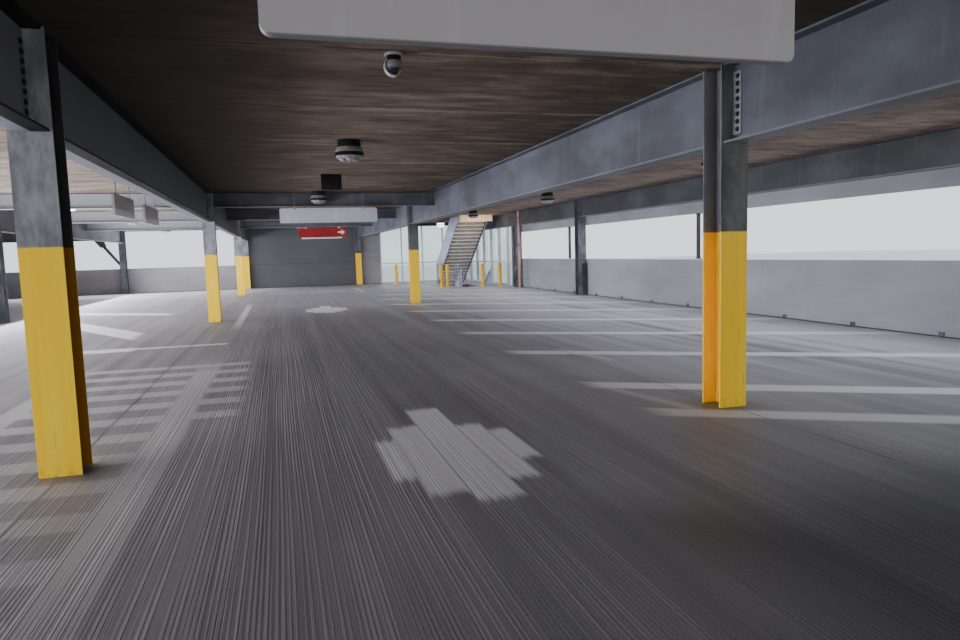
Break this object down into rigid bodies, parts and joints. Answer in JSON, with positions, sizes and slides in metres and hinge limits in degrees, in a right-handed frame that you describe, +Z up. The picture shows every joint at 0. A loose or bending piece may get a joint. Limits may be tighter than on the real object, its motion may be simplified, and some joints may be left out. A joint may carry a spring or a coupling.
{
  "type": "multi storey car park, 1:2 scale model",
  "caption": "Open steel-framed parking building with precast decks and parapet walls, stacked ramps and a glazed corner stair tower, at half size.",
  "frame": {"origin": "middle of the underside of the ground slab", "axes": "+Y north along the longest extent and the aisle, +X east, +Z up"},
  "size_m": [15.5904, 25.8404, 5.305],
  "materials": {
    "deck_concrete": "broom-finished concrete, dark with tyre dirt",
    "panel_concrete": "smooth precast concrete, light grey",
    "column_paint": "grey paint over a yellow foot",
    "girder_paint": "matt blue-grey paint",
    "dark_steel_paint": "matt dark grey paint",
    "zinc_plate": "dull zinc",
    "stair_steel": "satin dark grey paint",
    "stair_pan": "satin grey paint",
    "stair_side_panel": "satin pale grey paint",
    "rail_steel": "satin grey paint",
    "window_frame": "white coated",
    "window_glass": "clear",
    "bollard_yellow": "gloss yellow paint",
    "board_grey": "matt light grey sheet",
    "sign_red": "matt red sheet",
    "light_housing": "weathered casting",
    "box_black": "matt black",
    "pipe_red": "gloss red paint"
  },
  "bodies": {
    "root": {"ground_slab": "deck_concrete", "deck_2_west": "deck_concrete", "deck_2_aisle": "deck_concrete", "deck_2_east": "deck_concrete", "deck_3_west": "deck_concrete", "deck_3_aisle": "deck_concrete", "deck_3_east": "deck_concrete", "ramp_1": "deck_concrete", "ramp_2": "deck_concrete", "panels_east": "panel_concrete", "panels_west": "panel_concrete", "panels_north": "panel_concrete", "panels_south": "panel_concrete", "end_walls": "panel_concrete", "ramp_walls": "panel_concrete", "opening_walls": "panel_concrete", "tower_walls": "panel_concrete", "tower_roof": "panel_concrete", "columns_west": "column_paint", "columns_ramp": "column_paint", "columns_aisle_west": "column_paint", "columns_aisle_east": "column_paint", "columns_east": "column_paint", "girders_ramp": "girder_paint", "girders_aisle_west": "girder_paint", "girders_aisle_east": "girder_paint", "edge_girders": "dark_steel_paint", "tie_beams": "dark_steel_paint", "ramp_beams": "dark_steel_paint", "knee_braces": "dark_steel_paint", "parapet_posts": "dark_steel_paint", "column_guards": "dark_steel_paint", "shear_tabs": "zinc_plate", "panel_plates": "zinc_plate", "stair_stringers": "stair_steel", "stair_treads": "stair_pan", "stair_guards": "stair_side_panel", "stair_rails": "rail_steel", "tower_mullions": "window_frame", "tower_rails": "window_frame", "tower_glass": "window_glass", "bollards": "bollard_yellow", "hanging_boards": "board_grey", "arrow_sign": "sign_red", "ceiling_lights": "light_housing", "soffit_boxes": "box_black", "standpipe": "pipe_red"}
  },
  "joints": []
}
